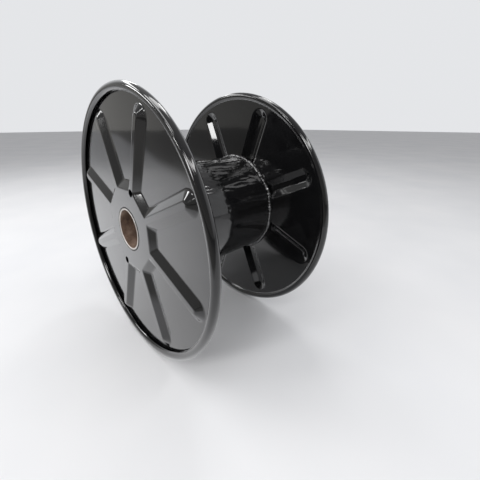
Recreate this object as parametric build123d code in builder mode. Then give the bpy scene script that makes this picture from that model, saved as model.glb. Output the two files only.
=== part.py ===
"""Pressed-steel reel for steel wire, lying on the curled rims of its two flanges.

Millimetres, +Z up. The axle bore runs along Y, and the origin is the middle of the reel on that axis.
The reel is a weldment of two pressed flanges, the rolled barrel between them and the centre tube.
"""

import os
from math import asin, atan2, cos, degrees, radians

from build123d import *

# Whole reel
flange_diameter = 800.0
rim_gap = 400.0

# Sheet of the flanges and their curled rim
sheet = 3.0
curl_diameter = 25.0
curl_sweep = 315.0

# Web of a flange, set back from the outer side of its rim
web_depth = 15.0

# Star pressed outwards from the web: an octagonal hub that runs out into eight stiffening ribs
star_height = 14.0
rib_count = 8
rib_angle = 24.0
rib_base_width = 64.0
rib_crest_width = 18.0
rib_end_margin = 36.0
hub_crest_flats = 242.0
hub_slope = 23.0
corner_rounding = 14.0
crest_rounding = 10.0
foot_rounding = 12.0

# Two holes for the pins that drive the reel
drive_hole_diameter = 22.0
drive_circle_diameter = 248.0

# Barrel
barrel_diameter = 355.0
barrel_wall = 3.0

# Centre tube, whose ends stand proud of the hubs
tube_diameter = 127.0
tube_wall = 6.0
tube_proud = 1.0
tube_clearance = 0.25
tube_chamfer = 1.0

# Levels on a flange, counted outwards from the middle of its curled rim
curl_radius = curl_diameter / 2
web_outer_level = curl_radius - web_depth
web_inner_level = web_outer_level - sheet
web_middle_level = web_outer_level - sheet / 2
star_level = web_outer_level + star_height

# Places along the axis
rim_offset = rim_gap / 2 + curl_radius
barrel_length = 2 * (rim_offset + web_inner_level)
tube_length = 2 * (rim_offset + star_level + tube_proud)

# Radii, slopes and angles that follow from the sizes
curl_centre_radius = flange_diameter / 2 - curl_radius
curl_middle_radius = curl_radius - sheet / 2
curl_end_angle = 180.0 + degrees(asin(web_middle_level / curl_middle_radius))
web_radius = curl_centre_radius + curl_middle_radius * cos(radians(curl_end_angle))
rib_end_centre = flange_diameter / 2 - rib_end_margin - rib_base_width / 2
rib_slope = (rib_base_width - rib_crest_width) / 2
rib_taper = degrees(atan2(rib_slope, star_height))
hub_taper = degrees(atan2(hub_slope, star_height))
rib_pitch = 360.0 / rib_count
drive_angle = rib_angle + rib_pitch
die_depth = star_height + 2 * sheet

# Planes of the front flange, whose outside faces -Y
rim_plane = Plane(origin=(0, -rim_offset, 0), x_dir=(1, 0, 0), z_dir=(0, -1, 0))
web_plane = rim_plane.offset(web_outer_level)
section_plane = Plane(origin=rim_plane.origin, x_dir=(1, 0, 0), z_dir=(0, 0, 1))
reel_axis = Axis((0, 0, 0), (0, -1, 0))

# One rib, from the middle of the flange to its round outer end
with BuildPart() as rib:
    with BuildSketch(web_plane):
        SlotCenterPoint((rib_end_centre / 2, 0), (rib_end_centre, 0), rib_base_width)
    extrude(amount=star_height, taper=rib_taper)

# Hub with sloping sides
with BuildPart() as hub:
    with BuildSketch(web_plane):
        RegularPolygon(
            hub_crest_flats / 2 + hub_slope,
            rib_count,
            major_radius=False,
            rotation=rib_angle,
        )
    extrude(amount=star_height, taper=hub_taper)

# Solid die whose outer side has the form of the pressed flange
with BuildPart() as die:
    with BuildSketch(web_plane):
        Circle(web_radius)
    extrude(amount=-die_depth)
    for number in range(rib_count):
        add(rib.part.rotate(reel_axis, rib_angle + number * rib_pitch))
    add(hub.part)
    slants = die.edges().filter_by(lambda edge: edge.bounding_box().size.Y > star_height / 2)
    fillet(slants.sort_by_distance(rim_plane.origin)[: 2 * rib_count], corner_rounding)
    star_face = die.faces().filter_by(Plane.XZ).sort_by(Axis.Y).first
    fillet(star_face.outer_wire().edges(), crest_rounding)
    web_face = die.faces().filter_by(Plane.XZ).sort_by(SortBy.AREA)[-2]
    fillet(web_face.inner_wires().first.edges(), foot_rounding)

# Front flange: the die's outer skin, one sheet thick, with its curled rim and its holes
with BuildPart() as front_flange:
    add(die.part)
    add(die.part.translate((0, sheet, 0)), mode=Mode.SUBTRACT)
    with BuildSketch(section_plane):
        with BuildLine():
            centre = (curl_centre_radius, 0)
            inner_radius = curl_radius - sheet
            outer = CenterArc(centre, curl_radius, curl_end_angle, -curl_sweep)
            inner = CenterArc(centre, inner_radius, curl_end_angle, -curl_sweep)
            Line(outer @ 0, inner @ 0)
            Line(outer @ 1, inner @ 1)
        make_face()
    revolve(axis=reel_axis)
    with BuildSketch(rim_plane):
        Circle(tube_diameter / 2 + tube_clearance)
        with PolarLocations(drive_circle_diameter / 2, 2, start_angle=drive_angle):
            Circle(drive_hole_diameter / 2)
    extrude(amount=curl_diameter, both=True, mode=Mode.SUBTRACT)
front_flange.part.label = "front_flange"

# Back flange: the same pressing, turned round
with BuildPart() as back_flange:
    mirror(front_flange.part, about=Plane.XZ)
back_flange.part.label = "back_flange"

# Barrel: rolled sheet, butted against the webs of both flanges
with BuildPart() as barrel:
    with BuildSketch(Plane.XZ):
        Circle(barrel_diameter / 2)
        Circle(barrel_diameter / 2 - barrel_wall, mode=Mode.SUBTRACT)
    extrude(amount=barrel_length / 2, both=True)
barrel.part.label = "barrel"

# Centre tube, whose bore takes the axle
with BuildPart() as centre_tube:
    with BuildSketch(Plane.XZ):
        Circle(tube_diameter / 2)
        Circle(tube_diameter / 2 - tube_wall, mode=Mode.SUBTRACT)
    extrude(amount=tube_length / 2, both=True)
    chamfer(centre_tube.edges().filter_by(GeomType.CIRCLE), tube_chamfer)
centre_tube.part.label = "centre_tube"

os.makedirs("parts", exist_ok=True)
for piece in (front_flange, back_flange, barrel, centre_tube):
    export_step(piece.part, f"parts/{piece.part.label}.step")
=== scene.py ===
"""Looks of the steel wire reel: gloss black enamel, weld beads, a dented barrel and a rusty bore.

Metres, +Z up. The reel's axis is Y, and its front flange faces -Y.
"""

import math

import bmesh
import bpy
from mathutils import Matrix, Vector, noise
from mathutils.bvhtree import BVHTree


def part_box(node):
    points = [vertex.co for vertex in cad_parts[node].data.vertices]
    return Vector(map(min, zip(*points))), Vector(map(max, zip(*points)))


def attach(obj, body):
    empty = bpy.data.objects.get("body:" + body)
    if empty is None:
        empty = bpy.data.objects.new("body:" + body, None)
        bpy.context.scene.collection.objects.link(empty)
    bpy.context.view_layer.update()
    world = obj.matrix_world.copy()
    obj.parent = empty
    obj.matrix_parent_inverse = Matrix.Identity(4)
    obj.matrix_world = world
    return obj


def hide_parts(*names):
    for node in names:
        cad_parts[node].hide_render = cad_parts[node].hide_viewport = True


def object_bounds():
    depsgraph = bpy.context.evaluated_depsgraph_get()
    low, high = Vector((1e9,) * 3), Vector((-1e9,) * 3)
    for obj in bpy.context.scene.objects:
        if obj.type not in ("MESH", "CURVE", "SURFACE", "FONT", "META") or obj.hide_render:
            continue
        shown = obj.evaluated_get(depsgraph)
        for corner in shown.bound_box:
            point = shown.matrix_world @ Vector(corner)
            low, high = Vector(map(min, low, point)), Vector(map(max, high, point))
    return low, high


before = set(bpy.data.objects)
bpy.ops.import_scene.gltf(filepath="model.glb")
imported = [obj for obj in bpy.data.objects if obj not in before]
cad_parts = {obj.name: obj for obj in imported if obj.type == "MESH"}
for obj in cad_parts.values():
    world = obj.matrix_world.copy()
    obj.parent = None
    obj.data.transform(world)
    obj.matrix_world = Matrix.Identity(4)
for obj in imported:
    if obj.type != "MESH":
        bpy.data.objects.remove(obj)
cad_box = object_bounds()

# Camera of the photograph, with its focal length and shift in the photograph's pixels
PHOTO_SIZE = 480
CAMERA_PLACE = (0.7798, -0.5242, 0.2952)
CAMERA_AIM = (-0.6801, 0.6654, -0.3079)
FOCAL_PIXELS = 278.81
SHIFT_PIXELS = (-1.0, -26.0)
SENSOR_WIDTH = 36.0
CLIP_START = 0.01

# Floor: pale round the reel, and grey beyond an edge in front of the front flange
FLOOR_SPAN = 60.0
FLOOR_TONES = ((0.35, (0.76, 0.765, 0.78)), (0.65, (0.81, 0.81, 0.82)))
FLOOR_GREY = (0.27, 0.265, 0.255)
FLOOR_EDGE_ACROSS = (0.316, -0.949, 0.0)
FLOOR_EDGE_PLACE = 1.0
FLOOR_EDGE_SOFTNESS = 0.25

# Surroundings: a grey room, its tones by the height of a direction, and a pale backdrop in it
ROOM_TONES = (
    (0.0, (0.36, 0.355, 0.34)),
    (0.30, (0.31, 0.31, 0.305)),
    (0.60, (0.28, 0.28, 0.285)),
    (1.0, (0.45, 0.45, 0.46)),
)
BACKDROP_COLOUR = (0.78, 0.79, 0.81)
BACKDROP_ACROSS = (-0.208, 0.978, 0.0)
BACKDROP_EDGE_PLACE = -0.14
BACKDROP_EDGE_SOFTNESS = 0.26
BACKDROP_TOP = ((0.58, 1.0), (0.70, 0.0))

# Softboxes: azimuth and elevation in degrees, width and height in metres, radiance
LAMP_DISTANCE = 4.2
SOFTBOXES = (
    ("softbox_above", 170.0, 76.0, 3.6, 0.9, 3.6),
    ("strip_1", -162.0, 43.0, 1.8, 0.45, 4.6),
    ("strip_2", -115.0, 53.0, 2.4, 0.9, 3.6),
    ("strip_3", -52.0, 44.0, 1.6, 0.5, 8.4),
    ("strip_4", -15.0, 50.0, 1.8, 0.4, 8.2),
    ("strip_5", 22.0, 50.0, 1.8, 0.4, 8.2),
    ("strip_6", 123.0, 60.0, 0.6, 0.5, 8.4),
    ("panel_1", -141.5, 28.0, 1.35, 0.35, 9.4),
    ("panel_2", -108.0, 36.0, 0.5, 0.4, 9.4),
    ("panel_3", -75.0, 33.0, 0.45, 0.8, 9.4),
    ("panel_4", -111.5, 21.6, 0.5, 0.2, 20.0),
    ("panel_5", -86.0, 24.0, 0.6, 0.85, 16.0),
    ("panel_6", 51.0, 46.0, 0.3, 0.2, 9.4),
    ("panel_7", 166.0, 39.0, 1.2, 0.4, 4.8),
)

# Black enamel under thin dust, with its gloss from facing (0) to grazing (1) views
PAINT_COLOUR = (0.0055, 0.0055, 0.006)
PAINT_ROUGHNESS = 0.09
DUST_COLOUR = (0.16, 0.15, 0.14)
DUST_DULLING = 0.5
DUST_COVER = 0.03
SPECK_COVER = 0.10
SHEET_GLOSS = ((0.0, 0.12), (0.35, 0.25), (0.62, 0.45), (0.8, 0.9))
BEAD_GLOSS = ((0.0, 0.65), (0.62, 0.7), (0.8, 0.9))

# Enamel on the bead round the tube, from clean to sooty
SOOT_TONES = ((0.35, (0.006, 0.006, 0.006)), (0.70, (0.030, 0.028, 0.026)))

# Tube: brown scale, the depth to which its ends are worn bright, and the paint outside
SCALE_TONES = (
    (0.30, (0.085, 0.055, 0.042)),
    (0.52, (0.22, 0.145, 0.105)),
    (0.72, (0.34, 0.25, 0.20)),
)
WORN_DEPTH = 0.0016
WORN_COLOUR = (0.70, 0.67, 0.64)
WORN_METALLIC = 0.85
COAT_DEPTH = 0.0010
COAT_COLOUR = (0.006, 0.006, 0.0065)
COAT_ROUGHNESS = (0.12, 0.12, 0.12)
EDGE_STEEPNESS = 900.0
EDGE_STOPS = ((0.0, 0.0), (0.35, 1.0))

SMOOTH_ANGLE = math.radians(28.0)

# Barrel: rolled sheet with broad dents, and with creases that are deeper on its upper side
BARREL_WALL = 0.003
BARREL_TURNS = 288
BARREL_STEPS = 150
PLAIN_END = 0.02
DENT_DEPTH = 0.0012
DENTS_ROUND = 3.2
DENTS_ALONG = 11.0
CREASE_DEPTH = 0.0002
CREASE_DEPTH_ABOVE = 0.0011
CREASES_ROUND = 19.0
CREASES_ALONG = 7.0
CREASE_SLANT = 0.5
CREASE_WAVER = 0.05
CREASE_WAVER_FINENESS = 2.0
CREASE_SHARPNESS = 3.0

# Hand-laid beads: how much their thickness wanders, and the size of their lumps and ripples
BEAD_SIDES = 8
BEAD_TURNS = [math.pi * number / BEAD_SIDES for number in range(BEAD_SIDES + 1)]
WANDER = 0.35
WANDER_FINENESS = 5.0
LUMPS = 0.45
LUMP_FINENESS = 20.0
RIPPLES = 0.07
RIPPLES_ROUND = 110.0
RIPPLE_DRIFT = 1.5

# Beads between the barrel and the flanges, each with its flange and its side of the reel
BARREL_WELDS = (("barrel_weld_front", "front_flange", -1), ("barrel_weld_back", "back_flange", 1))
WELD_STEPS = 900
WELD_RADIUS = 0.0064
WELD_OVERLAP = 0.0008
WELD_SINK = 0.0004
WELD_DIP = 0.35
WELD_SET_BACK = 0.0012
WELD_WOBBLE = 0.0015
WELD_WOBBLE_FINENESS = 16.0
RAY_SET_BACK = 0.01

# Beads between the tube and the hubs, with their levels counted inwards from the tube's end
TUBE_WELDS = (("tube_weld_front", -1), ("tube_weld_back", 1))
SEAM_STEPS = 480
SEAM_SEED = 3.0
SEAM_WIDTH = 0.0030
SEAM_EVEN_WIDTH = 0.7
SEAM_UNEVEN_WIDTH = 0.3
SEAM_HEIGHT = 0.0006
SEAM_SWELL = 0.0002
SEAM_SWELL_LIMIT = 1.5
SEAM_GAP = 0.0004
SEAM_LEVEL = 0.0011
SEAM_FOOT_GAP = 0.0006
SEAM_FOOT_WIDTH = 0.8
SEAM_FOOT_LEVEL = 0.0016


def new_material(name):
    """A material, with its node tree and its shader."""
    material = bpy.data.materials.new(name)
    material.use_nodes = True
    tree = material.node_tree
    return material, tree, tree.nodes["Principled BSDF"]


def coordinates(tree, kind):
    """The texture coordinates of one kind, such as Object."""
    return tree.nodes.new("ShaderNodeTexCoord").outputs[kind]


def split(tree, source):
    """The X, Y and Z of a vector, as sockets by name."""
    node = tree.nodes.new("ShaderNodeSeparateXYZ")
    tree.links.new(source, node.inputs["Vector"])
    return node.outputs


def add_node(tree, kind, **inputs):
    """A node of a shader tree, with the inputs that are given by name."""
    node = tree.nodes.new(kind)
    for key, value in inputs.items():
        node.inputs[key].default_value = value
    return node


def noise_node(tree, source, scale, detail=3.0, roughness=0.55):
    """Noise in object space, with its scale in cells a metre."""
    node = add_node(tree, "ShaderNodeTexNoise", Scale=scale, Detail=detail, Roughness=roughness)
    tree.links.new(source, node.inputs["Vector"])
    return node.outputs["Fac"]


def ramp(tree, source, *stops):
    """A colour ramp through stops of (place, grey or colour)."""
    node = tree.nodes.new("ShaderNodeValToRGB")
    elements = node.color_ramp.elements
    while len(elements) < len(stops):
        elements.new(0.5)
    for element, (place, colour) in zip(elements, stops):
        element.position = place
        if isinstance(colour, float):
            colour = (colour, colour, colour)
        element.color = (*colour, 1.0)
    tree.links.new(source, node.inputs["Fac"])
    return node.outputs["Color"]


def math_node(tree, operation, *values):
    """A maths node on sockets or numbers."""
    node = tree.nodes.new("ShaderNodeMath")
    node.operation = operation
    for socket, value in zip(node.inputs, values):
        if isinstance(value, float):
            socket.default_value = value
        else:
            tree.links.new(value, socket)
    return node.outputs["Value"]


def colour_socket(sockets, name):
    """The socket for colours among those of a mix node that share a name."""
    return [socket for socket in sockets if socket.name == name and socket.type == "RGBA"][0]


def mix_colours(tree, factor, first, second):
    """Mixes two colours, each a socket or three numbers, by a socket."""
    node = tree.nodes.new("ShaderNodeMix")
    node.data_type = "RGBA"
    tree.links.new(factor, node.inputs["Factor"])
    for name, value in (("A", first), ("B", second)):
        socket = colour_socket(node.inputs, name)
        if isinstance(value, tuple):
            socket.default_value = (*value, 1.0)
        else:
            tree.links.new(value, socket)
    return colour_socket(node.outputs, "Result")


def bump(tree, height, depth, below=None):
    """A bump with its full depth in metres, laid over another one if that is given."""
    node = add_node(tree, "ShaderNodeBump", Strength=1.0, Distance=depth)
    tree.links.new(height, node.inputs["Height"])
    if below is not None:
        tree.links.new(below, node.inputs["Normal"])
    return node.outputs["Normal"]


def side_of(tree, place, across, shift, soft):
    """0 on one side of a vertical plane and 1 on the other, softly."""
    side = add_node(tree, "ShaderNodeVectorMath")
    side.operation = "DOT_PRODUCT"
    side.inputs[1].default_value = across
    tree.links.new(place, side.inputs[0])
    far = math_node(tree, "SUBTRACT", side.outputs["Value"], shift)
    return ramp(tree, far, (0.0, 0.0), (soft, 1.0))


def steeply_beyond(tree, source, limit):
    """A steep slope that passes 0 where a socket is at a limit."""
    over = math_node(tree, "SUBTRACT", source, limit)
    return math_node(tree, "MULTIPLY", over, EDGE_STEEPNESS)


def black_enamel(name, gloss_stops):
    """Gloss black enamel on pressed steel: clear reflections, a little orange peel, thin dust."""
    material, tree, shader = new_material(name)
    place = coordinates(tree, "Object")
    clouds = noise_node(tree, place, scale=9.0, detail=6.0, roughness=0.65)
    grains = noise_node(tree, place, scale=420.0, detail=2.0)
    dust = ramp(tree, clouds, (0.52, 0.0), (0.78, 1.0))
    specks = ramp(tree, grains, (0.72, 0.0), (0.78, 1.0))
    thin = math_node(tree, "MULTIPLY", dust, DUST_COVER)
    spotted = math_node(tree, "MULTIPLY", specks, SPECK_COVER)
    cover = math_node(tree, "ADD", thin, spotted)
    colour = mix_colours(tree, cover, PAINT_COLOUR, DUST_COLOUR)
    tree.links.new(colour, shader.inputs["Base Color"])
    rough = math_node(tree, "MULTIPLY_ADD", cover, DUST_DULLING, PAINT_ROUGHNESS)
    tree.links.new(rough, shader.inputs["Roughness"])
    waves = noise_node(tree, place, scale=9.0, detail=0.0)
    peel = noise_node(tree, place, scale=220.0, detail=0.0)
    wavy = bump(tree, waves, depth=0.0005)
    peeled = bump(tree, peel, depth=0.0000025, below=wavy)
    tree.links.new(peeled, shader.inputs["Normal"])
    layer = add_node(tree, "ShaderNodeLayerWeight", Blend=0.5)
    gloss = ramp(tree, layer.outputs["Facing"], *gloss_stops)
    shader.inputs["Specular IOR Level"].default_value = 0.3
    tree.links.new(gloss, shader.inputs["Specular IOR Level"])
    shader.inputs["IOR"].default_value = 1.9
    shader.inputs["Coat Weight"].default_value = 1.0
    shader.inputs["Coat Roughness"].default_value = 0.05
    shader.inputs["Coat IOR"].default_value = 1.35
    tree.links.new(peeled, shader.inputs["Coat Normal"])
    return material


def seam_enamel():
    """Enamel on the bead round the tube: thin, dull and a little sooty."""
    material, tree, shader = new_material("seam_enamel")
    place = coordinates(tree, "Object")
    soot = ramp(tree, noise_node(tree, place, scale=90.0, detail=4.0), *SOOT_TONES)
    tree.links.new(soot, shader.inputs["Base Color"])
    dull = noise_node(tree, place, scale=60.0, detail=4.0)
    rough = ramp(tree, dull, (0.3, 0.38), (0.7, 0.55))
    tree.links.new(rough, shader.inputs["Roughness"])
    shader.inputs["Specular IOR Level"].default_value = 0.4
    grain = noise_node(tree, place, scale=300.0, detail=4.0)
    tree.links.new(bump(tree, grain, depth=0.0001), shader.inputs["Normal"])
    return material


def tube_steel():
    """Hot-rolled tube: brown scale and light rust, worn bright on its ends, painted outside."""
    material, tree, shader = new_material("tube_steel")
    place = coordinates(tree, "Object")
    axes = split(tree, place)
    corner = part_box("centre_tube")[1]
    rust = noise_node(tree, place, scale=38.0, detail=6.0, roughness=0.7)
    scale_colour = ramp(tree, rust, *SCALE_TONES)

    along = math_node(tree, "ABSOLUTE", axes["Y"])
    worn = steeply_beyond(tree, along, corner.y - WORN_DEPTH)
    patches = noise_node(tree, place, scale=160.0)
    bright = ramp(tree, math_node(tree, "SUBTRACT", worn, patches), *EDGE_STOPS)
    steel_colour = mix_colours(tree, bright, scale_colour, WORN_COLOUR)

    across = math_node(tree, "MULTIPLY", axes["X"], axes["X"])
    upward = math_node(tree, "MULTIPLY", axes["Z"], axes["Z"])
    radius = math_node(tree, "SQRT", math_node(tree, "ADD", across, upward))
    outside = steeply_beyond(tree, radius, corner.x - COAT_DEPTH)
    painted = ramp(tree, outside, *EDGE_STOPS)
    colour = mix_colours(tree, painted, steel_colour, COAT_COLOUR)
    tree.links.new(colour, shader.inputs["Base Color"])

    bare = math_node(tree, "SUBTRACT", 1.0, painted)
    bare_and_bright = math_node(tree, "MULTIPLY", bright, bare)
    metallic = math_node(tree, "MULTIPLY", bare_and_bright, WORN_METALLIC)
    tree.links.new(metallic, shader.inputs["Metallic"])
    scaly = ramp(tree, noise_node(tree, place, scale=60.0, detail=4.0), (0.3, 0.42), (0.7, 0.72))
    rough = mix_colours(tree, painted, scaly, COAT_ROUGHNESS)
    tree.links.new(rough, shader.inputs["Roughness"])
    grain = noise_node(tree, place, scale=240.0, detail=5.0, roughness=0.7)
    tree.links.new(bump(tree, grain, depth=0.0002), shader.inputs["Normal"])
    return material


def coat(piece, material):
    """Puts one material in the place of a piece's own ones."""
    piece.data.materials.clear()
    piece.data.materials.append(material)


def dress(piece, material):
    """Gives a piece its material and its material slot, and rides it on the reel."""
    coat(piece, material)
    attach(piece, "root")


def dress_node(name, material):
    """Gives a node of the CAD its material, and shades it smooth up to its sharp edges."""
    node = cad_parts[name]
    coat(node, material)
    bpy.ops.object.select_all(action="DESELECT")
    node.select_set(True)
    bpy.context.view_layer.objects.active = node
    bpy.ops.object.shade_smooth_by_angle(angle=SMOOTH_ANGLE)


def add_camera():
    """The camera of the photograph, fitted to the reel's rims, its bore and its barrel."""
    data = bpy.data.cameras.new("camera")
    camera = bpy.data.objects.new("camera", data)
    bpy.context.scene.collection.objects.link(camera)
    camera.location = CAMERA_PLACE
    camera.rotation_mode = "QUATERNION"
    camera.rotation_quaternion = Vector(CAMERA_AIM).to_track_quat("-Z", "Y")
    data.sensor_width = SENSOR_WIDTH
    data.lens = FOCAL_PIXELS / PHOTO_SIZE * SENSOR_WIDTH
    data.shift_x = SHIFT_PIXELS[0] / PHOTO_SIZE
    data.shift_y = SHIFT_PIXELS[1] / PHOTO_SIZE
    data.clip_start = CLIP_START
    bpy.context.scene.camera = camera


def add_floor():
    """Pale floor that the reel lies on, which turns grey some way in front of the front flange."""
    bpy.ops.mesh.primitive_plane_add(size=FLOOR_SPAN, location=(0, 0, cad_box[0][2]))
    floor = bpy.context.object
    floor.name = "floor"
    material, tree, shader = new_material("floor")
    place = coordinates(tree, "Object")
    tone = ramp(tree, noise_node(tree, place, scale=1.3), *FLOOR_TONES)
    grey = side_of(tree, place, FLOOR_EDGE_ACROSS, FLOOR_EDGE_PLACE, FLOOR_EDGE_SOFTNESS)
    colour = mix_colours(tree, grey, tone, FLOOR_GREY)
    tree.links.new(colour, shader.inputs["Base Color"])
    shader.inputs["Roughness"].default_value = 0.85
    shader.inputs["Specular IOR Level"].default_value = 0.2
    floor.data.materials.append(material)


def add_world():
    """Surroundings: a pale backdrop behind the reel, and a dim grey room in front of it."""
    world = bpy.data.worlds.new("studio")
    bpy.context.scene.world = world
    world.use_nodes = True
    tree = world.node_tree
    direction = coordinates(tree, "Generated")
    height = split(tree, direction)["Z"]
    room = ramp(tree, height, *ROOM_TONES)
    edge = (BACKDROP_ACROSS, BACKDROP_EDGE_PLACE, BACKDROP_EDGE_SOFTNESS)
    behind = side_of(tree, direction, *edge)
    low = ramp(tree, height, *BACKDROP_TOP)
    backdrop = math_node(tree, "MULTIPLY", behind, low)
    colour = mix_colours(tree, backdrop, room, BACKDROP_COLOUR)
    tree.links.new(colour, tree.nodes["Background"].inputs["Color"])


def add_softbox(name, azimuth, elevation, width, height, radiance):
    """A rectangular softbox at a given direction from the reel's middle, aimed at it."""
    light = bpy.data.lights.new(name, "AREA")
    light.shape = "RECTANGLE"
    light.size = width
    light.size_y = height
    light.energy = math.pi * width * height * radiance
    lamp = bpy.data.objects.new(name, light)
    bpy.context.scene.collection.objects.link(lamp)
    around = math.radians(azimuth)
    above = math.radians(elevation)
    level = math.cos(above)
    toward = Vector((level * math.cos(around), level * math.sin(around), math.sin(above)))
    lamp.location = LAMP_DISTANCE * toward
    lamp.rotation_mode = "QUATERNION"
    lamp.rotation_quaternion = (-toward).to_track_quat("-Z", "Y")
    lamp.visible_camera = False


def full_turn(count):
    """Angles evenly spread round the reel's axis."""
    return [2 * math.pi * number / count for number in range(count)]


def ring_point(reach, angle, along):
    """A point at a reach from the reel's axis, an angle round it and a place along it."""
    return (reach * math.cos(angle), along, reach * math.sin(angle))


def grid_piece(name, rows):
    """A closed piece through rows of points: each row is a loop, and the last meets the first."""
    mesh = bpy.data.meshes.new(name)
    builder = bmesh.new()
    loops = [[builder.verts.new(point) for point in row] for row in rows]
    for first, second in zip(loops, loops[1:] + loops[:1]):
        count = len(first)
        for i in range(count):
            j = (i + 1) % count
            builder.faces.new((first[i], first[j], second[j], second[i]))
    bmesh.ops.recalc_face_normals(builder, faces=builder.faces)
    builder.to_mesh(mesh)
    builder.free()
    piece = bpy.data.objects.new(name, mesh)
    bpy.context.scene.collection.objects.link(piece)
    for face in mesh.polygons:
        face.use_smooth = True
    return piece


def barrel_dent(angle, along):
    """How far the rolled sheet is dented inwards at a place."""
    point = Vector(ring_point(DENTS_ROUND, angle, DENTS_ALONG * along))
    broad = noise.noise(point) * 0.5 + 0.5
    waver = CREASE_WAVER * noise.noise(point * CREASE_WAVER_FINENESS)
    bend = angle + CREASE_SLANT * along + waver
    crease = Vector(ring_point(CREASES_ROUND, bend, CREASES_ALONG * along))
    ridge = 1.0 - min(1.0, CREASE_SHARPNESS * abs(noise.noise(crease)))
    upper = max(0.0, math.sin(angle))
    return DENT_DEPTH * broad + (CREASE_DEPTH + CREASE_DEPTH_ABOVE * upper) * ridge


def build_barrel():
    """The barrel with its dents and creases, in the place of its plain solid."""
    low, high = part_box("barrel")
    radius = high.x
    length = high.y - low.y
    angles = full_turn(BARREL_TURNS)
    rows = []
    for step in range(BARREL_STEPS + 1):
        along = low.y + length * step / BARREL_STEPS
        near_end = min(along - low.y, high.y - along)
        ease = min(1.0, near_end / PLAIN_END)
        row = []
        for angle in angles:
            reach = radius - ease * barrel_dent(angle, along)
            row.append(ring_point(reach, angle, along))
        rows.append(row)
    for along in (high.y, low.y):
        rows.append([ring_point(radius - BARREL_WALL, angle, along) for angle in angles])
    shell = grid_piece("barrel_shell", rows)
    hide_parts("barrel")
    return shell


def bead_size(angle, seed):
    """Thickness of a hand-laid bead at an angle, as a share of its plain thickness."""
    point = Vector((math.cos(angle), math.sin(angle), seed))
    wander = noise.noise(point * WANDER_FINENESS)
    lumps = noise.noise(point * LUMP_FINENESS)
    ripple = abs(math.sin(RIPPLES_ROUND * angle + RIPPLE_DRIFT * wander))
    return 1.0 + WANDER * wander + LUMPS * lumps + RIPPLES * ripple


def build_barrel_weld(name, flange, side):
    """The bead round the barrel's end, which dips into the grooves of the ribs and closes them."""
    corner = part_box("barrel")[1]
    radius = corner.x
    butt = corner.y
    surface = BVHTree.FromObject(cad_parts[flange], bpy.context.evaluated_depsgraph_get())
    to_flange = Vector((0, side, 0))
    rows = []
    for angle in full_turn(WELD_STEPS):
        spoke = Vector((math.cos(angle), 0, math.sin(angle)))
        start = spoke * radius + Vector((0, side * (butt - RAY_SET_BACK), 0))
        hit = surface.ray_cast(start, to_flange)[0]
        web_level = abs(hit.y)
        sunk_level = web_level + WELD_OVERLAP
        thick = WELD_RADIUS * bead_size(angle, side)
        wobble = WELD_WOBBLE * noise.noise(spoke * WELD_WOBBLE_FINENESS + to_flange)
        middle = butt + WELD_DIP * (web_level - butt) - WELD_SET_BACK + wobble
        profile = [
            (butt - WELD_OVERLAP, radius - BARREL_WALL),
            (sunk_level, radius - BARREL_WALL),
            (sunk_level, radius - WELD_SINK),
        ]
        for turn in BEAD_TURNS:
            along = min(middle + thick * math.cos(turn), sunk_level)
            profile.append((along, radius + thick * math.sin(turn)))
        rows.append([(spoke.x * reach, side * along, spoke.z * reach) for along, reach in profile])
    return grid_piece(name, rows)


def build_tube_weld(name, side):
    """The low bead that joins the tube to the hub, under the level of the tube's end."""
    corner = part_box("centre_tube")[1]
    tube_radius = corner.x
    top = corner.y
    rows = []
    for angle in full_turn(SEAM_STEPS):
        size = bead_size(angle, SEAM_SEED + side)
        wide = SEAM_WIDTH * (SEAM_EVEN_WIDTH + SEAM_UNEVEN_WIDTH * size)
        tall = SEAM_HEIGHT + SEAM_SWELL * min(size, SEAM_SWELL_LIMIT)
        profile = []
        for turn in BEAD_TURNS:
            reach = tube_radius + SEAM_GAP + wide * (1 - math.cos(turn)) / 2
            profile.append((top - SEAM_LEVEL + tall * math.sin(turn), reach))
        profile.append((top - SEAM_FOOT_LEVEL, tube_radius + wide * SEAM_FOOT_WIDTH))
        profile.append((top - SEAM_FOOT_LEVEL, tube_radius + SEAM_FOOT_GAP))
        rows.append([ring_point(reach, angle, side * along) for along, reach in profile])
    return grid_piece(name, rows)


def main():
    """Builds the scene around the frame."""
    add_camera()
    add_floor()
    add_world()
    for name, *values in SOFTBOXES:
        add_softbox(name, *values)

    enamel = black_enamel("black_enamel", SHEET_GLOSS)
    bead_enamel = black_enamel("bead_enamel", BEAD_GLOSS)
    seam = seam_enamel()
    steel = tube_steel()
    for name, material in (("front_flange", enamel), ("back_flange", enamel), ("centre_tube", steel)):
        dress_node(name, material)
    dress(build_barrel(), enamel)
    for name, flange, side in BARREL_WELDS:
        dress(build_barrel_weld(name, flange, side), bead_enamel)
    for name, side in TUBE_WELDS:
        dress(build_tube_weld(name, side), seam)

    bpy.context.scene.view_settings.view_transform = "Standard"


main()
